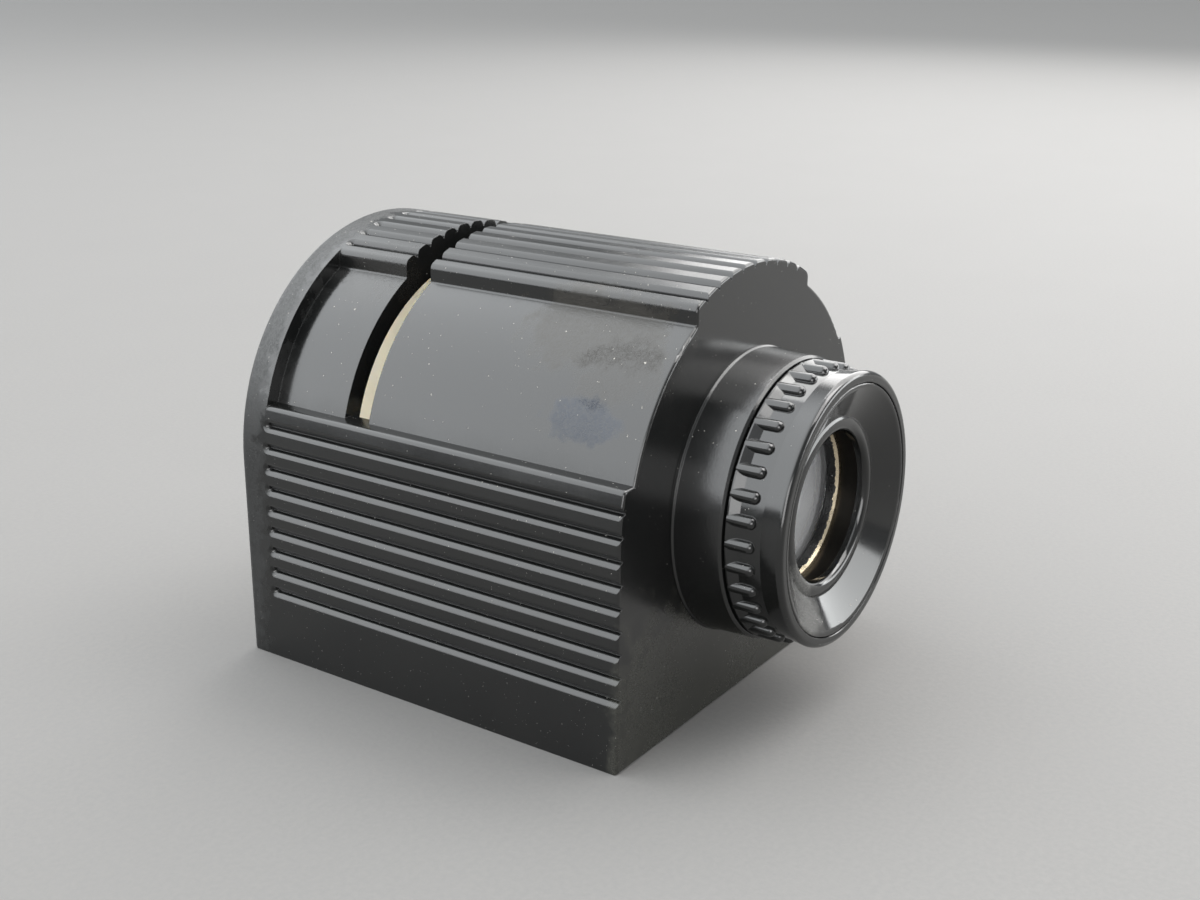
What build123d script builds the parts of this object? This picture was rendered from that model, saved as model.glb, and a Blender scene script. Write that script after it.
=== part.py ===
from build123d import *
import math
import os

# Slide viewer: a ribbed arch-shaped housing of black moulded plastic that takes one 50 x 50 mm
# slide through a slot in its roof, with a screw-focusing magnifier in front and an opal diffuser
# behind. Millimetres, +Z up. The origin is under the middle of the whole object, on the surface
# that it stands on. The eyepiece looks out along -Y, and light enters from +Y.

# ---------------------------------------------------------------- driving dimensions
body_width = 60.0
body_length = 62.2
axis_height = 28.35             # optical axis, and centre of the roof's arch
eye_reach = 14.6                # front face to the eyecup's rim, focused fully in

arch_radius = body_width / 2
overall_length = body_length + eye_reach
rear_face_y = overall_length / 2
front_face_y = rear_face_y - body_length
rear_edge_radius = 1.0
front_edge_radius = 0.4

# decoration: ribs separated by narrow grooves, and two sunk panels in the roof
groove_depth = 0.85
groove_pitch = 2.99
groove_half_width = 1.22
rib_shoulder_radius = 1.18
groove_end_y = front_face_y + 57.0      # centre of each groove's rounded rear end
roof_groove_angle = 5.75                # degrees between the roof's grooves
roof_groove_count = 9
side_groove_count = 9
top_side_groove_z = 33.8
panel_rear_y = front_face_y + 57.6
panel_floor_radius = 28.0
ledge_edge_radius = 0.7
roof_edge_radius = 1.1
panel_corner_radius = 0.3               # hollow corner between a panel and the rib above it
left_panel_top_x = -13.75
left_panel_bottom_z = 36.4
right_panel_top_x = 14.9
right_panel_bottom_z = 43.4
right_panel_shift = (1.9, -0.47)        # the right panel is shallower: its arc's centre is moved

# slide pocket
slide_size = 50.0
slot_front_y = 17.4
slot_width = 4.2
slot_rear_y = slot_front_y + slot_width
pocket_half_width = slide_size / 2 + 0.4
pocket_floor_z = axis_height - slide_size / 2 - 0.15
relief_radius = 25.2            # the wall behind the slot is thinned above the slide's middle
relief_length = 3.0

# inside of the housing
front_wall = 3.2
chamber_radius = 22.5
chamber_floor_z = 5.7
bore_radius = 24.0
bore_floor_z = 4.2
seat_clearance = 0.2            # flat parts are this much smaller than their seats all round
mask_thickness = 1.1
mask_front_y = slot_front_y - mask_thickness
diffuser_thickness = 2.0
diffuser_front_y = 33.0
diffuser_rear_y = diffuser_front_y + diffuser_thickness
frame_thickness = 3.0
frame_rear_y = diffuser_rear_y + frame_thickness
diffuser_seat_radius = 25.2
diffuser_seat_floor_z = 3.1
frame_seat_radius = 28.5
frame_seat_floor_z = 1.6

# eyepiece, radii about the optical axis and reaches ahead of the front face
collar_radius = 18.7            # at its foot; it tapers towards its front edge
collar_front_radius = 18.5
collar_reach = 6.8
spigot_radius = 16.95
thread_bore_radius = 15.35
tube_radius = 12.5
guide_bore_radius = tube_radius + 0.06
tube_front = 10.8
tube_rear = -12.5
lens_bore_radius = 10.9
lens_stop_radius = 9.7
ring_gap = 0.25                 # between the collar and the focusing ring, focused fully in
ring_rear = collar_reach + ring_gap
ring_flange_radius = 18.1
grip_radius = 17.45
rim_radius = 17.75
rim_reach = 13.8
sleeve_rear = -2.0
thread_root_radius = 14.2
thread_height = 0.85
thread_lead = 4.5
thread_starts = 3
thread_length = 7.4
focus_travel = 5.6
knurl_count = 36
ring_rest_turn = 5.8            # degrees that the ring is turned by, focused fully in
knurl_radius = 0.8
knurl_centre_radius = 17.4
knurl_front = 10.9
eye_opening_radius = 9.75
cone_radius = 16.35
cone_seat_radius = cone_radius + 0.04
cone_seat = 11.1
lens_radius = 10.8
lens_surface_radius = 48.0
lens_crown = lens_surface_radius - math.sqrt(lens_surface_radius**2 - lens_radius**2)

running_gap = 0.2

# screws
screw_radius = 0.8
screw_hole_clearance = 0.1
screw_head_clearance = 0.05
mask_screw_length = 5.0
mask_head_radius = 1.6
gate_side_x = 20.9              # the mask's screws and the springs stand in two columns
mask_screw_places = [(x, z) for x in (-gate_side_x, gate_side_x) for z in (8.5, 35.5)]
frame_screw_length = 6.5
frame_head_radius = 1.4
frame_screw_radius = 26.75
frame_screw_rise = frame_screw_radius * math.sin(math.radians(45))
frame_screw_low_z = 8.0
frame_screw_places = [
    (-frame_screw_radius, frame_screw_low_z),
    (frame_screw_radius, frame_screw_low_z),
    (-frame_screw_rise, axis_height + frame_screw_rise),
    (frame_screw_rise, axis_height + frame_screw_rise),
]

# springs and their rivets
rivet_radius = 0.6
rivet_places = [(x, z) for x in (-gate_side_x, gate_side_x) for z in (28.9, 31.3)]

optical_axis = Axis((0, front_face_y, axis_height), (0, -1, 0))
# Turned parts are drawn on this plane as (radius, reach ahead of the front face).
turning_plane = Plane(origin=(0, front_face_y, axis_height), x_dir=(1, 0, 0), z_dir=(0, 0, -1))


def section(y):
    """Upright plane across the viewer at y, drawn as (x, z). Extrusions from it run forward."""
    return Plane.XZ.offset(-y)


def arch_face(radius, floor_z):
    """An arch: a half disc about the optical axis on straight sides down to floor_z."""
    with BuildSketch() as arch:
        with BuildLine():
            Polyline((radius, axis_height), (radius, floor_z), (-radius, floor_z), (-radius, axis_height))
            ThreePointArc((-radius, axis_height), (0, axis_height + radius), (radius, axis_height))
        make_face()
    return arch.sketch


def turned(points):
    """A solid of revolution about the optical axis from its (radius, reach) outline."""
    with BuildPart() as lathe:
        with BuildSketch(turning_plane):
            with BuildLine():
                Polyline(*points, close=True)
            make_face()
        revolve(axis=optical_axis)
    return lathe.part


def countersunk_screw(length, head_radius):
    """A countersunk screw along +Y, its flat head's rim at y = 0 and its point at y = -length."""
    slot_depth = 0.35
    slot_half_width = 0.25
    head_depth = head_radius - screw_radius
    with BuildPart() as screw:
        with BuildSketch(Plane.XY):
            with BuildLine():
                Polyline(
                    (0, 0),
                    (head_radius, 0),
                    (screw_radius, -head_depth),
                    (screw_radius, -length + screw_radius / 2),
                    (screw_radius / 2, -length),
                    (0, -length),
                    close=True,
                )
            make_face()
        revolve(axis=Axis.Y)
        with Locations((0, -slot_depth / 2, 0)):
            Box(2 * slot_half_width, slot_depth, 4 * head_radius, mode=Mode.SUBTRACT)
    return screw.part


os.makedirs("parts", exist_ok=True)


# ---------------------------------------------------------------- housing
groove_lift = 0.04              # keeps the shoulders' arcs from running tangent to the walls
groove_floor_z = groove_lift - groove_depth
groove_mouth_z = 1.5
shoulder_centre_z = groove_lift - rib_shoulder_radius
shoulder_sweep = math.asin((groove_floor_z - shoulder_centre_z) / rib_shoulder_radius)
groove_floor_half_width = groove_half_width - rib_shoulder_radius * math.cos(shoulder_sweep)
shoulder_middle_angle = (shoulder_sweep + math.pi / 2) / 2
shoulder_middle = (
    groove_half_width - rib_shoulder_radius * math.cos(shoulder_middle_angle),
    shoulder_centre_z + rib_shoulder_radius * math.sin(shoulder_middle_angle),
)


def half_groove_section():
    """Half of a groove's section as (x, z): flat floor, rounded shoulder, open mouth at the top."""
    with BuildSketch() as half:
        with BuildLine():
            Line((0, groove_mouth_z), (0, groove_floor_z))
            Line((0, groove_floor_z), (groove_floor_half_width, groove_floor_z))
            ThreePointArc(
                (groove_floor_half_width, groove_floor_z),
                shoulder_middle,
                (groove_half_width, groove_lift),
            )
            Line((groove_half_width, groove_lift), (groove_half_width, groove_mouth_z))
            Line((groove_half_width, groove_mouth_z), (0, groove_mouth_z))
        make_face()
    return half.sketch


# One groove cutter, running along Y with its mouth towards +Z and its rounded end at y = 0.
with BuildPart() as half_groove:
    with BuildSketch(Plane.XZ):
        add(half_groove_section())
    extrude(amount=groove_end_y - front_face_y + 1)
    mirror(about=Plane.YZ)
with BuildPart() as groove_end:
    with BuildSketch(Plane.XZ):
        add(half_groove_section())
    revolve(axis=Axis.Z)
with BuildPart() as groove_cutter:
    add(half_groove.part)
    add(groove_end.part)


def on_arch(angle):
    """Place a cutter on the roof, angle in degrees from +X, its mouth pointing outward."""
    x = arch_radius * math.cos(math.radians(angle))
    z = axis_height + arch_radius * math.sin(math.radians(angle))
    return Location((x, groove_end_y, z), (0, 90 - angle, 0))


def on_side(side, z):
    """Place a cutter on a side at height z; side is -1 on the left and 1 on the right."""
    rise = z - axis_height
    if rise <= 0:
        return Location((side * arch_radius, groove_end_y, z), (0, side * 90, 0))
    angle = math.degrees(math.asin(rise / arch_radius))
    return on_arch(angle if side > 0 else 180 - angle)


roof_grooves = [
    on_arch(90 + roof_groove_angle * (step - (roof_groove_count - 1) / 2))
    for step in range(roof_groove_count)
]
side_grooves = [
    on_side(side, top_side_groove_z - groove_pitch * step)
    for side in (-1, 1)
    for step in range(side_groove_count)
]


def long_edges_at(body, axis, position):
    """The body's edges that run along Y at this position on the axis."""
    window = 0.1
    return body.edges().filter_by(Axis.Y).filter_by_position(axis, position - window, position + window)


with BuildPart() as housing:
    with BuildSketch(section(rear_face_y)):
        add(arch_face(arch_radius, 0))
    extrude(amount=body_length)
    # sunk panels in the roof, left and right of the ribs
    reach = arch_radius + 2
    with BuildSketch(section(panel_rear_y)):
        with Locations(((left_panel_top_x - reach) / 2, (left_panel_bottom_z + axis_height + reach) / 2)):
            Rectangle(reach + left_panel_top_x, axis_height + reach - left_panel_bottom_z)
        with Locations((0, axis_height)):
            Circle(panel_floor_radius, mode=Mode.SUBTRACT)
    extrude(amount=panel_rear_y - front_face_y + 1, mode=Mode.SUBTRACT)
    with BuildSketch(section(panel_rear_y)):
        with Locations(((right_panel_top_x + reach) / 2, (right_panel_bottom_z + axis_height + reach) / 2)):
            Rectangle(reach - right_panel_top_x, axis_height + reach - right_panel_bottom_z)
        with Locations((right_panel_shift[0], axis_height + right_panel_shift[1])):
            Circle(panel_floor_radius, mode=Mode.SUBTRACT)
    extrude(amount=panel_rear_y - front_face_y + 1, mode=Mode.SUBTRACT)

    # the panels' long edges are rounded, and so is the hollow corner under each one's upper edge
    step_places = (left_panel_top_x, right_panel_top_x)
    step_corners = [long_edges_at(housing, Axis.X, x).sort_by(Axis.Z)[-2] for x in step_places]
    fillet(step_corners, radius=panel_corner_radius)
    step_edges = [long_edges_at(housing, Axis.X, x).sort_by(Axis.Z)[-1] for x in step_places]
    fillet(step_edges, radius=roof_edge_radius)
    ledge_edges = [
        long_edges_at(housing, Axis.Z, left_panel_bottom_z).sort_by(Axis.X)[0],
        long_edges_at(housing, Axis.Z, right_panel_bottom_z).sort_by(Axis.X)[-1],
    ]
    fillet(ledge_edges, radius=ledge_edge_radius)
    fillet(housing.faces().sort_by(Axis.Y)[-1].outer_wire().edges(), radius=rear_edge_radius)
    fillet(housing.faces().sort_by(Axis.Y)[0].outer_wire().edges(), radius=front_edge_radius)

    # grooves between the ribs
    with Locations(*roof_grooves, *side_grooves):
        add(groove_cutter.part, mode=Mode.SUBTRACT)

    # hollow: viewing chamber in front of the slide, bore behind it, seats at the rear
    with BuildSketch(section(mask_front_y)):
        add(arch_face(chamber_radius, chamber_floor_z))
    extrude(amount=mask_front_y - front_face_y - front_wall, mode=Mode.SUBTRACT)
    with BuildSketch(section(diffuser_front_y)):
        add(arch_face(bore_radius, bore_floor_z))
    extrude(amount=diffuser_front_y - mask_front_y, mode=Mode.SUBTRACT)
    with BuildSketch(section(slot_rear_y + relief_length)):
        add(arch_face(relief_radius, axis_height - 1))
        with Locations((0, axis_height - 1)):
            Rectangle(2 * relief_radius, 2, mode=Mode.SUBTRACT)
    extrude(amount=relief_length, mode=Mode.SUBTRACT)
    with BuildSketch(section(diffuser_rear_y)):
        add(arch_face(diffuser_seat_radius, diffuser_seat_floor_z))
    extrude(amount=diffuser_thickness, mode=Mode.SUBTRACT)
    with BuildSketch(section(rear_face_y + 1)):
        add(arch_face(frame_seat_radius, frame_seat_floor_z))
    extrude(amount=rear_face_y + 1 - diffuser_rear_y, mode=Mode.SUBTRACT)

    # slide pocket, open through the roof and out to the left panel
    pocket_top_z = axis_height + reach
    with BuildSketch(section(slot_rear_y)):
        with Locations((0, (pocket_floor_z + pocket_top_z) / 2)):
            Rectangle(2 * pocket_half_width, pocket_top_z - pocket_floor_z)
        with Locations((-reach / 2, (left_panel_bottom_z + pocket_top_z) / 2)):
            Rectangle(reach, pocket_top_z - left_panel_bottom_z)
        with Locations((reach / 2, (right_panel_bottom_z + pocket_top_z) / 2)):
            Rectangle(reach, pocket_top_z - right_panel_bottom_z)
    extrude(amount=slot_width, mode=Mode.SUBTRACT)

    # hole for the collar
    spigot_clearance = 0.05
    with BuildSketch(section(front_face_y + front_wall)):
        with Locations((0, axis_height)):
            Circle(spigot_radius + spigot_clearance)
    extrude(amount=front_wall + 1, mode=Mode.SUBTRACT)

    # pillars and blind holes for the mask's screws
    pillar_length = 8.0
    pillar_radius = 2.4
    with BuildSketch(section(mask_front_y)):
        with Locations(*mask_screw_places):
            Circle(pillar_radius)
    extrude(amount=pillar_length)
    with BuildSketch(section(mask_front_y)):
        with Locations(*mask_screw_places):
            Circle(screw_radius)
    extrude(amount=mask_screw_length, mode=Mode.SUBTRACT)

    # blind holes for the rear frame's screws
    with BuildSketch(section(diffuser_rear_y)):
        with Locations(*frame_screw_places):
            Circle(screw_radius)
    extrude(amount=frame_screw_length - frame_thickness + screw_radius, mode=Mode.SUBTRACT)
housing.part.label = "housing"
export_step(housing.part, "parts/housing.step")


# ---------------------------------------------------------------- slide gate
window_size = 36.0
window_corner_radius = 6.0
with BuildPart() as slide_mask:
    with BuildSketch(section(slot_front_y)):
        add(arch_face(bore_radius - seat_clearance, bore_floor_z + seat_clearance))
        with Locations((0, axis_height)):
            RectangleRounded(window_size, window_size, window_corner_radius, mode=Mode.SUBTRACT)
    extrude(amount=mask_thickness)
    for x, z in mask_screw_places:
        with Locations(Plane(origin=(x, slot_front_y, z), z_dir=(0, 1, 0))):
            CounterSinkHole(
                screw_radius + screw_hole_clearance,
                mask_head_radius + screw_head_clearance,
                counter_sink_angle=90,
            )
    for x, z in rivet_places:
        with Locations(Plane(origin=(x, slot_front_y, z), z_dir=(0, 1, 0))):
            Hole(rivet_radius)
slide_mask.part.label = "slide_mask"
export_step(slide_mask.part, "parts/slide_mask.step")

mask_screw = countersunk_screw(mask_screw_length, mask_head_radius)
with BuildPart() as mask_screws:
    with Locations(*[(x, slot_front_y, z) for x, z in mask_screw_places]):
        add(mask_screw)
mask_screws.part.label = "mask_screws"
export_step(mask_screws.part, "parts/mask_screws.step")

# Bowed leaf springs: riveted at the top, resting on the mask at the bottom.
spring_thickness = 0.3
spring_width = 4.0
spring_top_z = 32.6
spring_bend_z = 27.6
spring_tip_z = 12.4
spring_bow = 3.0
spring_middle_z = (spring_bend_z + spring_tip_z) / 2
for side, name in ((-1, "left_slide_spring"), (1, "right_slide_spring")):
    near_y = slot_front_y
    far_y = slot_front_y + spring_thickness
    with BuildPart() as slide_spring:
        with BuildSketch(Plane.YZ.offset(side * gate_side_x - spring_width / 2)):
            with BuildLine():
                Line((near_y, spring_top_z), (near_y, spring_bend_z))
                ThreePointArc(
                    (near_y, spring_bend_z),
                    (near_y + spring_bow, spring_middle_z),
                    (near_y, spring_tip_z),
                )
                Line((near_y, spring_tip_z), (far_y, spring_tip_z))
                ThreePointArc(
                    (far_y, spring_tip_z),
                    (far_y + spring_bow, spring_middle_z),
                    (far_y, spring_bend_z),
                )
                Line((far_y, spring_bend_z), (far_y, spring_top_z))
                Line((far_y, spring_top_z), (near_y, spring_top_z))
            make_face()
        extrude(amount=spring_width)
        with BuildSketch(section(slot_front_y + 1)):
            with Locations(*[(x, z) for x, z in rivet_places if x * side > 0]):
                Circle(rivet_radius)
        extrude(amount=2, mode=Mode.SUBTRACT)
    slide_spring.part.label = name
    export_step(slide_spring.part, f"parts/{name}.step")

rivet_head_radius = 1.05
rivet_head_thickness = 0.4
with BuildPart() as spring_rivets:
    with BuildSketch(section(slot_front_y + spring_thickness)):
        with Locations(*rivet_places):
            Circle(rivet_radius)
    extrude(amount=mask_thickness + spring_thickness)
    with BuildSketch(section(slot_front_y + spring_thickness + rivet_head_thickness)):
        with Locations(*rivet_places):
            Circle(rivet_head_radius)
    extrude(amount=rivet_head_thickness)
    with BuildSketch(section(mask_front_y)):
        with Locations(*rivet_places):
            Circle(rivet_head_radius)
    extrude(amount=rivet_head_thickness)
spring_rivets.part.label = "spring_rivets"
export_step(spring_rivets.part, "parts/spring_rivets.step")


# ---------------------------------------------------------------- rear light window
with BuildPart() as diffuser:
    with BuildSketch(section(diffuser_rear_y)):
        add(arch_face(diffuser_seat_radius - seat_clearance, diffuser_seat_floor_z + seat_clearance))
    extrude(amount=diffuser_thickness)
diffuser.part.label = "diffuser"
export_step(diffuser.part, "parts/diffuser.step")

frame_bevel = 1.2
frame_window_radius = 22.6
frame_window_floor_z = 5.6
with BuildPart() as rear_frame:
    with BuildSketch(section(frame_rear_y)):
        add(arch_face(frame_seat_radius - seat_clearance, frame_seat_floor_z + seat_clearance))
        add(arch_face(frame_window_radius, frame_window_floor_z), mode=Mode.SUBTRACT)
    extrude(amount=frame_thickness)
    outside = rear_frame.faces().sort_by(Axis.Y)[-1]
    chamfer(outside.inner_wires()[0].edges(), length=frame_bevel)
    for x, z in frame_screw_places:
        with Locations(Plane(origin=(x, frame_rear_y, z), z_dir=(0, 1, 0))):
            CounterSinkHole(
                screw_radius + screw_hole_clearance,
                frame_head_radius + screw_head_clearance,
                counter_sink_angle=90,
            )
rear_frame.part.label = "rear_frame"
export_step(rear_frame.part, "parts/rear_frame.step")

frame_screw = countersunk_screw(frame_screw_length, frame_head_radius)
with BuildPart() as frame_screws:
    with Locations(*[(x, frame_rear_y, z) for x, z in frame_screw_places]):
        add(frame_screw)
frame_screws.part.label = "frame_screws"
export_step(frame_screws.part, "parts/frame_screws.step")


# ---------------------------------------------------------------- collar, fixed to the front wall
collar_rear = -front_wall - 3.1
guide_flange = 2.0
collar_front_edge = 0.3
collar_foot_rim = 0.2           # a fine raised line round the foot
with BuildPart() as collar:
    add(
        turned(
            [
                (thread_bore_radius, collar_reach),
                (collar_front_radius - collar_front_edge, collar_reach),
                (collar_front_radius, collar_reach - collar_front_edge),
                (collar_radius, 2 * collar_foot_rim),
                (collar_radius + collar_foot_rim, collar_foot_rim),
                (collar_radius + collar_foot_rim, 0),
                (spigot_radius, 0),
                (spigot_radius, collar_rear),
                (guide_bore_radius, collar_rear),
                (guide_bore_radius, collar_rear + guide_flange),
                (thread_bore_radius, collar_rear + guide_flange),
            ]
        )
    )
    guide_pin_y = front_face_y - (collar_rear + guide_flange / 2)
    guide_pin_radius = 0.8
    guide_pin_outer = spigot_radius - 0.3
    guide_pin_inner = tube_radius - 0.75
    guide_pin_chamfer = 0.15
    with BuildSketch(Plane.XY.offset(axis_height - spigot_radius - 1)):
        with Locations((0, guide_pin_y)):
            Circle(guide_pin_radius)
    extrude(amount=spigot_radius - guide_bore_radius + 2, mode=Mode.SUBTRACT)
collar.part.label = "collar"
export_step(collar.part, "parts/collar.step")

with BuildPart() as guide_pin:
    with BuildSketch(Plane.XY.offset(axis_height - guide_pin_outer)):
        with Locations((0, guide_pin_y)):
            Circle(guide_pin_radius)
    extrude(amount=guide_pin_outer - guide_pin_inner)
    chamfer(guide_pin.faces().sort_by(Axis.Z)[-1].edges(), length=guide_pin_chamfer)
guide_pin.part.label = "guide_pin"
export_step(guide_pin.part, "parts/guide_pin.step")

lock_ring_radius = 20.4
lock_ring_bore = spigot_radius + 0.03
lock_ring_thickness = 2.2
notch_depth = 1.2
notch_width = 2.0
with BuildPart() as collar_lock_ring:
    add(
        turned(
            [
                (lock_ring_bore, -front_wall),
                (lock_ring_radius, -front_wall),
                (lock_ring_radius, -front_wall - lock_ring_thickness),
                (lock_ring_bore, -front_wall - lock_ring_thickness),
            ]
        )
    )
    # two notches for the spanner
    spanner_y = front_face_y + front_wall + lock_ring_thickness - notch_depth / 2
    with Locations((0, spanner_y, axis_height)):
        Box(2 * lock_ring_radius + 1, notch_depth, notch_width, mode=Mode.SUBTRACT)
collar_lock_ring.part.label = "collar_lock_ring"
export_step(collar_lock_ring.part, "parts/collar_lock_ring.step")


# ---------------------------------------------------------------- lens unit, slides without turning
flange_radius = 13.7
flange_thickness = 1.2
keyway_half_width = guide_pin_radius + 0.1
keyway_floor_radius = guide_pin_inner - 0.2
keyway_front = collar_rear + guide_flange / 2 + guide_pin_radius + running_gap
keyway_rear = keyway_front - 2 * (guide_pin_radius + running_gap) - focus_travel
lens_seat = -11.5               # the field lens rests on this step's inner edge
with BuildPart() as lens_tube:
    add(
        turned(
            [
                (lens_bore_radius, tube_front),
                (flange_radius, tube_front),
                (flange_radius, tube_front - flange_thickness),
                (tube_radius, tube_front - flange_thickness),
                (tube_radius, tube_rear),
                (lens_stop_radius, tube_rear),
                (lens_stop_radius, lens_seat),
                (lens_bore_radius, lens_seat),
            ]
        )
    )
    keyway_length = keyway_front - keyway_rear
    keyway_middle_y = front_face_y - (keyway_front + keyway_rear) / 2
    cutter_height = 2.0
    with Locations((0, keyway_middle_y, axis_height - keyway_floor_radius - cutter_height / 2)):
        Box(2 * keyway_half_width, keyway_length, cutter_height, mode=Mode.SUBTRACT)
lens_tube.part.label = "lens_tube"
export_step(lens_tube.part, "parts/lens_tube.step")

nut_radius = 14.9
nut_front = sleeve_rear - running_gap
nut_thickness = 1.4
with BuildPart() as tube_nut:
    add(
        turned(
            [
                (tube_radius, nut_front),
                (nut_radius, nut_front),
                (nut_radius, nut_front - nut_thickness),
                (tube_radius, nut_front - nut_thickness),
            ]
        )
    )
tube_nut.part.label = "tube_nut"
export_step(tube_nut.part, "parts/tube_nut.step")

# lens stack, front to back: retaining ring, eye lens, spacer, field lens
retainer_front = 8.2
eye_lens_front = 6.2
eye_lens_rear = 2.6
field_lens_front = -9.2
field_lens_rear = -11.2


def plano_convex(flat_reach, edge_reach):
    """A lens with one flat face and, beyond edge_reach, one crowned face."""
    crown = math.copysign(lens_crown, edge_reach - flat_reach)
    half_crown = math.copysign(
        lens_surface_radius - math.sqrt(lens_surface_radius**2 - (lens_radius / 2) ** 2), crown
    )
    with BuildPart() as lens:
        with BuildSketch(turning_plane):
            with BuildLine():
                Line((0, flat_reach), (lens_radius, flat_reach))
                Line((lens_radius, flat_reach), (lens_radius, edge_reach))
                ThreePointArc(
                    (lens_radius, edge_reach),
                    (lens_radius / 2, edge_reach + crown - half_crown),
                    (0, edge_reach + crown),
                )
                Line((0, edge_reach + crown), (0, flat_reach))
            make_face()
        revolve(axis=optical_axis)
    return lens.part


with BuildPart() as eye_lens:
    add(plano_convex(eye_lens_rear, eye_lens_front))
eye_lens.part.label = "eye_lens"
export_step(eye_lens.part, "parts/eye_lens.step")

with BuildPart() as field_lens:
    add(plano_convex(field_lens_front, field_lens_rear))
field_lens.part.label = "field_lens"
export_step(field_lens.part, "parts/field_lens.step")

stack_radius = lens_bore_radius - 0.04
with BuildPart() as lens_spacer:
    add(
        turned(
            [
                (lens_stop_radius, eye_lens_rear),
                (stack_radius, eye_lens_rear),
                (stack_radius, field_lens_front),
                (lens_stop_radius, field_lens_front),
            ]
        )
    )
lens_spacer.part.label = "lens_spacer"
export_step(lens_spacer.part, "parts/lens_spacer.step")

retainer_bore = 9.9
retainer_bevel = 0.4
retainer_relief = 0.5           # keeps the ring's inner edge off the crowned lens
with BuildPart() as lens_retainer:
    add(
        turned(
            [
                (retainer_bore, retainer_front - retainer_bevel),
                (retainer_bore + retainer_bevel, retainer_front),
                (stack_radius, retainer_front),
                (stack_radius, eye_lens_front),
                (lens_radius, eye_lens_front),
                (retainer_bore, eye_lens_front + retainer_relief),
            ]
        )
    )
lens_retainer.part.label = "lens_retainer"
export_step(lens_retainer.part, "parts/lens_retainer.step")


# ---------------------------------------------------------------- focusing ring and eyecup cone
ridge_half_width = 0.5
ridge_crest_half_width = 0.2
ridge_root = -0.3               # the ridge starts inside the sleeve
with BuildPart() as thread_ridge:
    # one start of the coarse thread, wound on the sleeve from its rear end
    with BuildLine():
        ridge_path = Helix(
            pitch=thread_lead,
            height=thread_length,
            radius=thread_root_radius,
            center=(0, front_face_y - sleeve_rear - ridge_half_width, axis_height),
            direction=(0, -1, 0),
        )
    with BuildSketch(Plane(origin=ridge_path @ 0, z_dir=ridge_path % 0, x_dir=(0, -1, 0))):
        with BuildLine():
            Polyline(
                (-ridge_half_width, ridge_root),
                (ridge_half_width, ridge_root),
                (ridge_crest_half_width, thread_height),
                (-ridge_crest_half_width, thread_height),
                close=True,
            )
        make_face()
    sweep(path=ridge_path, is_frenet=True)

flange_front = ring_rear + 0.3
flange_slope = 1.2              # length of the slope between the flange and the grip
flange_recess_radius = flange_radius + running_gap
flange_recess_rear = tube_front - flange_thickness - running_gap
rim_front_radius = rim_radius - 0.65
cone_step = 0.1                 # bevel between the ring's front face and the cone's seat
with BuildPart() as unturned_ring:
    with BuildSketch(turning_plane):
        with BuildLine():
            Polyline(
                (guide_bore_radius, sleeve_rear),
                (thread_root_radius, sleeve_rear),
                (thread_root_radius, ring_rear),
                (ring_flange_radius - 0.1, ring_rear),
                (ring_flange_radius, ring_rear + 0.1),
                (ring_flange_radius, flange_front),
                (grip_radius, flange_front + flange_slope),
                (grip_radius, knurl_front + 0.7),
                (rim_radius, rim_reach),
            )
            ThreePointArc(
                (rim_radius, rim_reach),
                (rim_radius - 0.17, eye_reach - 0.2),
                (rim_front_radius, eye_reach),
            )
            Polyline(
                (rim_front_radius, eye_reach),
                (cone_seat_radius + cone_step, eye_reach),
                (cone_seat_radius, eye_reach - cone_step),
                (cone_seat_radius, cone_seat),
                (flange_recess_radius, cone_seat),
                (flange_recess_radius, flange_recess_rear),
                (guide_bore_radius, flange_recess_rear),
                (guide_bore_radius, sleeve_rear),
            )
        make_face()
    revolve(axis=optical_axis)
    # raised grip bars with rounded front ends
    bar_rear_y = front_face_y - ring_rear - 0.1
    bar_front_y = front_face_y - knurl_front + knurl_radius
    for bar in range(knurl_count):
        turn = 2 * math.pi * (bar + 0.5) / knurl_count
        bar_x = knurl_centre_radius * math.cos(turn)
        bar_z = axis_height + knurl_centre_radius * math.sin(turn)
        with Locations(Location((bar_x, (bar_rear_y + bar_front_y) / 2, bar_z), (90, 0, 0))):
            Cylinder(knurl_radius, bar_rear_y - bar_front_y)
        with Locations((bar_x, bar_front_y, bar_z)):
            Sphere(knurl_radius)
    for start in range(thread_starts):
        add(thread_ridge.part.rotate(optical_axis, 360 / thread_starts * start))
with BuildPart() as focus_ring:
    add(unturned_ring.part.rotate(optical_axis, ring_rest_turn))
focus_ring.part.label = "focus_ring"
export_step(focus_ring.part, "parts/focus_ring.step")

# The cone's front rim is a fine bead, and its inner edge is a rounded lip.
cone_bead = (16.1, eye_reach - 0.05)
cone_top = (15.5, eye_reach - 0.25)
cone_foot = (11.7, 12.25)
lip_crest = (10.8, 12.5)
lip_inner_reach = 11.8
with BuildPart() as eye_cone:
    with BuildSketch(turning_plane):
        with BuildLine():
            Line((cone_radius, cone_seat), (cone_radius, cone_bead[1] - 0.2))
            ThreePointArc(
                (cone_radius, cone_bead[1] - 0.2),
                (cone_radius - 0.08, cone_bead[1] - 0.06),
                cone_bead,
            )
            ThreePointArc(cone_bead, (cone_bead[0] - 0.3, cone_bead[1] - 0.05), cone_top)
            Line(cone_top, cone_foot)
            ThreePointArc(cone_foot, (cone_foot[0] - 0.4, lip_crest[1] - 0.08), lip_crest)
            ThreePointArc(
                lip_crest,
                (eye_opening_radius + 0.25, lip_crest[1] - 0.25),
                (eye_opening_radius, lip_inner_reach),
            )
            Line((eye_opening_radius, lip_inner_reach), (eye_opening_radius, cone_seat))
            Line((eye_opening_radius, cone_seat), (cone_radius, cone_seat))
        make_face()
    revolve(axis=optical_axis)
eye_cone.part.label = "eye_cone"
export_step(eye_cone.part, "parts/eye_cone.step")
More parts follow.
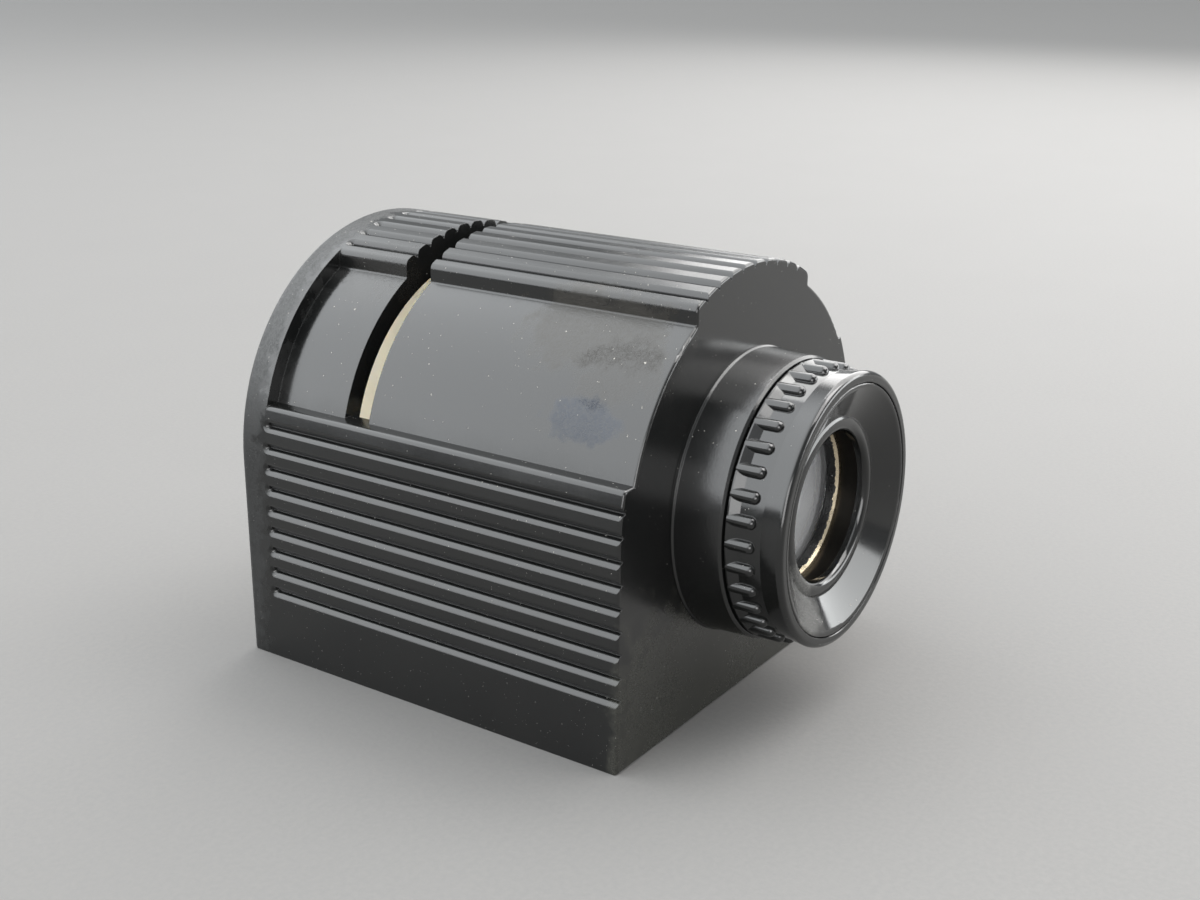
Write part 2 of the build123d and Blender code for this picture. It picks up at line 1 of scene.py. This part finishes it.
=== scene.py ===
import bpy
import bmesh
import math
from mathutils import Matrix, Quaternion, Vector


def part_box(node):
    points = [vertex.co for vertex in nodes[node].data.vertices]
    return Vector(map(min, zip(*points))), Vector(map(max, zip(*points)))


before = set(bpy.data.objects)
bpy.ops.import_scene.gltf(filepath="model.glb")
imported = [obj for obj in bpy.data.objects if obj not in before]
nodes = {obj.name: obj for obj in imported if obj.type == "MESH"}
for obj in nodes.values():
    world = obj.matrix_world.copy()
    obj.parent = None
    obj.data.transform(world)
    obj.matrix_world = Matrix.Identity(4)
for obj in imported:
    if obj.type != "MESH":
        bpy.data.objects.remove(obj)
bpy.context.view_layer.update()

MM = 0.001


# ---------------------------------------------------------------- camera
CAMERA_TARGET = Vector((7.4, 4.45, 26.0)) * MM
CAMERA_AZIMUTH = math.radians(-55.72)
CAMERA_ELEVATION = math.radians(18.59)
CAMERA_DISTANCE = 225.35 * MM
CAMERA_ROLL = math.radians(0.44)
LENS_MM = 46.83


def direction(azimuth, elevation):
    """Unit vector from the object towards a place; azimuth 0 is in front, towards -Y."""
    flat = math.cos(elevation)
    return Vector((math.sin(azimuth) * flat, -math.cos(azimuth) * flat, math.sin(elevation)))


def make_camera():
    camera_data = bpy.data.cameras.new("camera")
    camera_data.lens = LENS_MM
    camera_data.sensor_width = 36.0
    camera_data.clip_start = 10 * MM
    camera = bpy.data.objects.new("camera", camera_data)
    bpy.context.scene.collection.objects.link(camera)
    back = direction(CAMERA_AZIMUTH, CAMERA_ELEVATION)
    camera.location = CAMERA_TARGET + back * CAMERA_DISTANCE
    camera.rotation_mode = "QUATERNION"
    roll = Quaternion((0, 0, 1), CAMERA_ROLL)
    camera.rotation_quaternion = (-back).to_track_quat("-Z", "Y") @ roll
    bpy.context.scene.camera = camera


# ---------------------------------------------------------------- node helpers
NOISE_LOW = 0.3                 # a noise's values mostly lie between these two
NOISE_HIGH = 0.7


class Shader:
    """A material's node tree with short ways to add the nodes used here."""

    def __init__(self, name):
        self.material = bpy.data.materials.new(name)
        self.material.use_nodes = True
        self.tree = self.material.node_tree
        self.surface = self.tree.nodes["Principled BSDF"]
        coordinates = self.node("ShaderNodeTexCoord")
        self.place = coordinates.outputs["Object"]
        self.facing = coordinates.outputs["Normal"]

    def node(self, kind, **settings):
        made = self.tree.nodes.new(kind)
        for key, value in settings.items():
            setattr(made, key, value)
        return made

    def join(self, source, socket):
        """Put a constant or another node's output into a socket."""
        if isinstance(source, bpy.types.NodeSocket):
            self.tree.links.new(source, socket)
        else:
            socket.default_value = source

    def noise(self, grain_mm, detail=2.0, roughness=0.5, distortion=0.0, place=None):
        """Noise whose patches are about grain_mm across."""
        made = self.node("ShaderNodeTexNoise")
        self.join(place or self.place, made.inputs["Vector"])
        made.inputs["Scale"].default_value = 1 / (grain_mm * MM)
        made.inputs["Detail"].default_value = detail
        made.inputs["Roughness"].default_value = roughness
        made.inputs["Distortion"].default_value = distortion
        return made.outputs["Fac"]

    def math(self, operation, first, second=0.0, clamp=False):
        made = self.node("ShaderNodeMath", operation=operation, use_clamp=clamp)
        self.join(first, made.inputs[0])
        self.join(second, made.inputs[1])
        return made.outputs[0]

    def remap(self, value, from_low, from_high, to_low=0.0, to_high=1.0):
        made = self.node("ShaderNodeMapRange")
        self.join(value, made.inputs["Value"])
        limits = (("From Min", from_low), ("From Max", from_high), ("To Min", to_low), ("To Max", to_high))
        for socket, limit in limits:
            self.join(limit, made.inputs[socket])
        return made.outputs["Result"]

    def spread(self, noise, to_low, to_high):
        """A noise's usual range stretched to run from to_low to to_high."""
        return self.remap(noise, NOISE_LOW, NOISE_HIGH, to_low, to_high)

    def split(self, vector):
        """A vector's X, Y and Z."""
        made = self.node("ShaderNodeSeparateXYZ")
        self.join(vector, made.inputs["Vector"])
        return made.outputs

    def blend(self, amount, first, second):
        """Mix of two colours."""
        made = self.node("ShaderNodeMix", data_type="RGBA")
        self.join(amount, made.inputs["Factor"])
        self.join(first, made.inputs["A"])
        self.join(second, made.inputs["B"])
        return made.outputs["Result"]

    def bump(self, height, depth_mm, normal=None):
        """Surface relief: height runs 0 to 1 over depth_mm."""
        made = self.node("ShaderNodeBump")
        made.inputs["Strength"].default_value = 1.0
        made.inputs["Distance"].default_value = depth_mm * MM
        self.join(height, made.inputs["Height"])
        if normal is not None:
            self.join(normal, made.inputs["Normal"])
        return made.outputs["Normal"]

    def soft_edges(self, radius_mm):
        made = self.node("ShaderNodeBevel", samples=4)
        made.inputs["Radius"].default_value = radius_mm * MM
        return made.outputs["Normal"]

    def set(self, **inputs):
        for key, value in inputs.items():
            self.join(value, self.surface.inputs[key.replace("_", " ")])

    def dust(self, spacing_mm, largest_mm, share):
        """Ragged specks of dust, 1 on a speck and 0 elsewhere; share is the part of cells that hold one.

        The specks are largest on surfaces that face up, and a third as large on those that face down.
        """
        cells = self.node("ShaderNodeTexVoronoi")
        self.join(self.place, cells.inputs["Vector"])
        cells.inputs["Scale"].default_value = 1 / (spacing_mm * MM)
        chance = self.node("ShaderNodeSeparateColor")
        self.join(cells.outputs["Color"], chance.inputs["Color"])
        size = self.remap(chance.outputs["Red"], 1 - share, 1.0, 0.0, largest_mm / spacing_mm)
        settled = self.remap(self.split(self.facing)["Z"], -0.5, 0.6, 0.35, 1.0)
        size = self.math("MULTIPLY", size, settled)
        ragged = self.spread(self.noise(largest_mm * 0.7, 2.0, 0.6), 0.2, 1.8)
        inside = self.math("SUBTRACT", self.math("MULTIPLY", size, ragged), cells.outputs["Distance"])
        return self.math("GREATER_THAN", inside, 0.0)

    def soft_patch(self, centre, radii):
        """A soft-edged uneven patch, 1 at its centre; centre and radii are in millimetres."""
        local = self.node("ShaderNodeMapping", vector_type="TEXTURE")
        self.join(self.place, local.inputs["Vector"])
        local.inputs["Location"].default_value = [value * MM for value in centre]
        local.inputs["Scale"].default_value = [value * MM for value in radii]
        distance = self.node("ShaderNodeVectorMath", operation="LENGTH")
        self.join(local.outputs["Vector"], distance.inputs[0])
        uneven = self.spread(self.noise(3.0, 4.0, 0.6), -0.28, 0.28)
        return self.remap(self.math("ADD", distance.outputs["Value"], uneven), 1.05, 0.75)


def black_plastic(name, gloss_low, gloss_high, dust_share, grain_depth=0.0010, marks_and_painted_reflections=()):
    """Black phenolic moulding: glossy, faintly rippled, handled and a little dusty.

    dust_share is how dusty it is, from 0 to 1, and grain_depth is in millimetres.
    marks_and_painted_reflections are (centre, radii, colour, dulling): dulling is what a mark adds to the
    roughness. Some are smudges of handling; others are painted reflections, lighter patches that stand in
    for bright surroundings mirrored there.
    """
    shader = Shader(name)
    wear = shader.noise(14.0, 5.0, 0.62, 0.4)
    ripple = shader.noise(3.4, 1.0)
    grain = shader.noise(0.3, 3.0)
    specks = shader.dust(1.9, 0.15, dust_share)
    fine_specks = shader.dust(0.65, 0.08, dust_share)
    dust = shader.math("MAXIMUM", specks, fine_specks)
    tone = shader.blend(wear, (0.0030, 0.0034, 0.0036, 1), (0.0062, 0.0062, 0.0058, 1))
    polish = shader.spread(wear, gloss_low, gloss_high)
    polish = shader.math("ADD", polish, shader.spread(grain, -0.02, 0.02))
    normal = shader.bump(ripple, 0.0035, shader.soft_edges(0.12))
    normal = shader.bump(grain, grain_depth, normal)
    # each entry paints its colour over the tone: smudges of handling, and painted reflections that lighten
    # the plastic where it mirrors bright surroundings
    for centre, radii, mark_colour, dulling in marks_and_painted_reflections:
        mark_grain = shader.noise(0.45, 2.0, 0.6, 1.6)
        streaks = shader.remap(mark_grain, 0.32, 0.62, 0.45, 1.0)
        mark = shader.math("MULTIPLY", shader.soft_patch(centre, radii), streaks)
        tone = shader.blend(mark, tone, mark_colour)
        polish = shader.math("ADD", polish, shader.math("MULTIPLY", mark, dulling))
        normal = shader.bump(shader.math("MULTIPLY", mark, mark_grain), 0.018, normal)
    colour = shader.blend(dust, tone, (0.25, 0.24, 0.22, 1))
    roughness = shader.math("MAXIMUM", polish, shader.math("MULTIPLY", dust, 0.85))
    normal = shader.bump(dust, 0.03, normal)
    shader.set(Base_Color=colour, Roughness=roughness, IOR=1.56, Normal=normal)
    return shader.material


def opal_plastic(middle_y):
    """Cream-white translucent sheet; its outer face, behind middle_y, is aged and grimy."""
    shader = Shader("opal_sheet")
    cloud = shader.noise(9.0, 3.0)
    grain = shader.noise(0.4, 3.0)
    colour = shader.blend(cloud, (0.97, 0.84, 0.72, 1), (0.99, 0.88, 0.77, 1))
    aged = shader.blend(cloud, (0.27, 0.23, 0.175, 1), (0.34, 0.295, 0.23, 1))
    outside = shader.math("GREATER_THAN", shader.split(shader.place)["Y"], middle_y)
    colour = shader.blend(outside, colour, aged)
    normal = shader.bump(grain, 0.002, shader.soft_edges(0.1))
    shader.set(
        Base_Color=colour,
        Roughness=shader.spread(grain, 0.28, 0.4),
        Subsurface_Weight=1.0,
        Subsurface_Radius=(1.0, 0.9, 0.75),
        Subsurface_Scale=8 * MM,
        IOR=1.49,
        Normal=normal,
    )
    return shader.material


def metal(name, colour_low, colour_high, gloss_low, gloss_high, scratch_mm):
    """Machined metal with fine grain and patches of tarnish."""
    shader = Shader(name)
    tarnish = shader.noise(4.0, 4.0, 0.6)
    grain = shader.noise(scratch_mm, 3.0)
    normal = shader.bump(grain, 0.0015, shader.soft_edges(0.08))
    shader.set(
        Base_Color=shader.blend(tarnish, colour_low, colour_high),
        Metallic=1.0,
        Roughness=shader.spread(tarnish, gloss_low, gloss_high),
        Normal=normal,
    )
    return shader.material


def turned_aluminium():
    """Bright spacer tube with the fine rings that a lathe tool leaves."""
    shader = Shader("turned_aluminium")
    tarnish = shader.noise(4.0, 4.0, 0.6)
    rings = shader.node("ShaderNodeTexWave", wave_type="BANDS", bands_direction="Y")
    shader.join(shader.place, rings.inputs["Vector"])
    rings.inputs["Scale"].default_value = 1 / (4.4 * MM)
    rings.inputs["Distortion"].default_value = 0.6
    normal = shader.bump(rings.outputs["Fac"], 0.012, shader.soft_edges(0.08))
    shader.set(
        Base_Color=shader.blend(tarnish, (0.84, 0.83, 0.86, 1), (0.93, 0.92, 0.94, 1)),
        Metallic=0.3,
        Roughness=shader.spread(tarnish, 0.34, 0.5),
        Normal=normal,
    )
    return shader.material


def painted_brass(front_y):
    """Retaining ring: black paint inside, worn to bare brass on the face and bevel in front of front_y."""
    shader = Shader("painted_brass")
    chips = shader.noise(0.7, 4.0, 0.65)
    chip_depth = 0.12 * MM
    wander = shader.spread(chips, -chip_depth, chip_depth)
    ragged = shader.math("ADD", shader.split(shader.place)["Y"], wander)
    bare = shader.math("LESS_THAN", ragged, front_y)
    brass = shader.blend(chips, (0.56, 0.47, 0.33, 1), (0.74, 0.64, 0.47, 1))
    shader.set(
        Base_Color=shader.blend(bare, (0.010, 0.010, 0.010, 1), brass),
        Metallic=bare,
        Roughness=shader.spread(chips, 0.22, 0.4),
        Normal=shader.soft_edges(0.08),
    )
    return shader.material


def lens_glass():
    """Old uncoated glass with a slight bloom."""
    shader = Shader("lens_glass")
    haze = shader.noise(2.5, 4.0)
    shader.set(
        Base_Color=shader.blend(haze, (0.98, 0.985, 0.99, 1), (0.95, 0.96, 0.97, 1)),
        Transmission_Weight=0.80,
        Roughness=shader.remap(haze, 0.5, 0.85, 0.0, 0.04),
        IOR=1.69,
    )
    return shader.material


# Marks of handling and age, and painted reflections: centre and radii in millimetres, the mark's colour, and
# its dulling.
HOUSING_MARKS_AND_PAINTED_REFLECTION = (
    # brownish smears at the front of the left panel
    ((-15.0, -11.0, 50.5), (8.0, 12.0, 5.5), (0.0095, 0.0078, 0.0048, 1), 0.27),
    ((-19.5, -17.0, 47.0), (6.0, 7.0, 4.5), (0.0080, 0.0068, 0.0048, 1), 0.22),
    # blue-grey fingerprint low on the left panel
    ((-24.5, -14.7, 42.0), (4.0, 5.2, 2.8), (0.0012, 0.0058, 0.0150, 1), 0.28),
    # faint smears behind the slot and on the right panel
    ((-13.0, 26.0, 51.5), (7.0, 6.0, 6.0), (0.0070, 0.0066, 0.0058, 1), 0.10),
    ((18.0, -8.0, 48.0), (7.0, 12.0, 7.0), (0.0080, 0.0072, 0.0060, 1), 0.10),
    # the rear band, worn dull where it is held
    ((0.0, 38.0, 36.0), (60.0, 4.6, 60.0), (0.0050, 0.0054, 0.0052, 1), 0.45),
    # painted reflection: a grey patch low on the front face, standing in for the pale floor mirrored there
    ((-4.0, -23.8, 5.0), (38.0, 2.0, 16.0), (0.0230, 0.0230, 0.0190, 1), 0.10),
)
EYECUP_PAINTED_REFLECTION = (
    # painted reflection: a light grey patch at the lower left of the cone, standing in for the bright
    # surroundings mirrored there
    ((-8.7, -37.0, 17.5), (5.0, 2.2, 6.5), (0.070, 0.070, 0.067, 1), 0.12),
)
BRASS_EDGE = 0.32 * MM          # the retaining ring is bare this far back from its front


def dress():
    """Give every CAD node its finished material."""
    body = black_plastic("moulded_black", 0.13, 0.23, 0.40, marks_and_painted_reflections=HOUSING_MARKS_AND_PAINTED_REFLECTION)
    gloss = black_plastic("turned_black", 0.08, 0.16, 0.22)
    cup = black_plastic("eyecup_black", 0.07, 0.14, 0.22, marks_and_painted_reflections=EYECUP_PAINTED_REFLECTION)
    handled = black_plastic("handled_black", 0.14, 0.24, 0.60, grain_depth=0.010)
    black_low, black_high = (0.016, 0.015, 0.014, 1), (0.035, 0.032, 0.028, 1)
    black_metal = metal("blackened_brass", black_low, black_high, 0.3, 0.45, 0.15)
    aluminium = metal("aluminium", (0.66, 0.66, 0.65, 1), (0.78, 0.78, 0.77, 1), 0.26, 0.4, 0.1)
    steel = metal("plated_steel", (0.40, 0.39, 0.37, 1), (0.56, 0.55, 0.53, 1), 0.25, 0.4, 0.12)
    bronze = metal("spring_bronze", (0.42, 0.26, 0.14, 1), (0.56, 0.36, 0.20, 1), 0.25, 0.38, 0.12)
    retainer_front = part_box("lens_retainer")[0][1]
    diffuser_low, diffuser_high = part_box("diffuser")
    diffuser_middle = (diffuser_low[1] + diffuser_high[1]) / 2
    finish = {
        body: ("housing", "rear_frame"),
        gloss: ("focus_ring",),
        cup: ("eye_cone",),
        handled: ("collar",),
        opal_plastic(diffuser_middle): ("diffuser",),
        black_metal: ("lens_tube", "tube_nut", "collar_lock_ring", "slide_mask"),
        painted_brass(retainer_front + BRASS_EDGE): ("lens_retainer",),
        turned_aluminium(): ("lens_spacer",),
        aluminium: ("spring_rivets",),
        steel: ("guide_pin", "mask_screws", "frame_screws"),
        bronze: ("left_slide_spring", "right_slide_spring"),
        lens_glass(): ("eye_lens", "field_lens"),
    }
    for material, names in finish.items():
        for name in names:
            nodes[name].data.materials.clear()
            nodes[name].data.materials.append(material)


# ---------------------------------------------------------------- studio
FLOOR_RADIUS = 6.0

# Softboxes: azimuth and elevation in degrees, distance and size in metres, radiance and tint.
SOFTBOXES = {
    "overhead": (38, 60, 1.4, (1.00, 1.00), 6.4, (1.0, 0.995, 0.98)),
    "front_window": (40.3, 11.2, 0.75, (0.64, 0.27), 6.0, (0.98, 1.0, 1.0)),
    "side_fill": (90, 42, 0.95, (1.10, 1.10), 4.6, (1.0, 0.99, 0.98)),
    "camera_fill": (-50, 12, 1.1, (0.64, 0.64), 5.4, (1.0, 1.0, 1.0)),
}

# The room around: one wide glow on even dim walls, and nothing of the glow below the skirting.
ROOM_TINT = (0.95, 0.98, 1.0, 1)
ROOM_STRENGTH = 0.42
GLOW_STRENGTH = 4.0             # added to the room's strength at the middle of the glow
GLOW_AZIMUTH = math.radians(-142)
GLOW_ELEVATION = math.radians(40)
GLOW_EDGE = 0.30                # cosine of the angle from its middle at which the glow begins
GLOW_CORE = 0.88                # and at which it is full
SKIRTING = math.sin(math.radians(6.5))
SKIRTING_BLUR = 0.03


def make_floor():
    """A wide round sheet of pale grey paper."""
    mesh = bpy.data.meshes.new("floor")
    shape = bmesh.new()
    bmesh.ops.create_circle(shape, cap_ends=True, segments=96, radius=FLOOR_RADIUS)
    shape.to_mesh(mesh)
    shape.free()
    floor = bpy.data.objects.new("floor", mesh)
    bpy.context.scene.collection.objects.link(floor)
    shader = Shader("grey_paper")
    fibre = shader.noise(0.8, 5.0, 0.6)
    mottle = shader.noise(35.0, 3.0)
    tone = shader.blend(mottle, (0.113, 0.111, 0.108, 1), (0.122, 0.120, 0.117, 1))
    shader.set(
        Base_Color=shader.blend(shader.remap(fibre, 0.35, 0.65), tone, (0.125, 0.122, 0.118, 1)),
        Roughness=0.85,
        Normal=shader.bump(fibre, 0.03),
    )
    mesh.materials.append(shader.material)


def soft_light(name, azimuth, elevation, distance, size, radiance, tint):
    """A rectangular softbox of the given radiance, turned towards the object, hidden from the camera."""
    data = bpy.data.lights.new(name, "AREA")
    data.shape = "RECTANGLE"
    data.size, data.size_y = size
    data.energy = radiance * math.pi * size[0] * size[1]
    data.color = tint
    light = bpy.data.objects.new(name, data)
    bpy.context.scene.collection.objects.link(light)
    towards = direction(math.radians(azimuth), math.radians(elevation))
    light.location = CAMERA_TARGET + towards * distance
    light.rotation_mode = "QUATERNION"
    light.rotation_quaternion = (-towards).to_track_quat("-Z", "Y")
    light.visible_camera = False


def make_light():
    """Softboxes above, on the right and beside the camera, and a dim room with a glow behind on the left."""
    for name, placing in SOFTBOXES.items():
        soft_light(name, *placing)
    world = bpy.data.worlds.new("studio")
    world.use_nodes = True
    tree = world.node_tree
    sky = tree.nodes["Background"]
    towards = tree.nodes.new("ShaderNodeTexCoord")

    def graded(value, low, high, strength_low, strength_high):
        """Strength that rises smoothly as a value goes from low to high."""
        ramp = tree.nodes.new("ShaderNodeMapRange")
        ramp.interpolation_type = "SMOOTHSTEP"
        limits = (low, high, strength_low, strength_high)
        for socket, limit in zip(("From Min", "From Max", "To Min", "To Max"), limits):
            ramp.inputs[socket].default_value = limit
        tree.links.new(value, ramp.inputs["Value"])
        return ramp.outputs["Result"]

    glow = tree.nodes.new("ShaderNodeVectorMath")
    glow.operation = "DOT_PRODUCT"
    glow.inputs[1].default_value = direction(GLOW_AZIMUTH, GLOW_ELEVATION)
    height = tree.nodes.new("ShaderNodeSeparateXYZ")
    tree.links.new(towards.outputs["Generated"], glow.inputs[0])
    tree.links.new(towards.outputs["Generated"], height.inputs["Vector"])
    above = graded(height.outputs["Z"], SKIRTING - SKIRTING_BLUR, SKIRTING + SKIRTING_BLUR, 0.0, 1.0)
    brightness = graded(glow.outputs["Value"], GLOW_EDGE, GLOW_CORE, 0.0, GLOW_STRENGTH)
    strength = tree.nodes.new("ShaderNodeMath")
    strength.operation = "MULTIPLY_ADD"
    tree.links.new(brightness, strength.inputs[0])
    tree.links.new(above, strength.inputs[1])
    strength.inputs[2].default_value = ROOM_STRENGTH
    tree.links.new(strength.outputs["Value"], sky.inputs["Strength"])
    sky.inputs["Color"].default_value = ROOM_TINT
    bpy.context.scene.world = world
    bpy.context.scene.view_settings.view_transform = "Standard"


make_camera()
dress()
make_floor()
make_light()
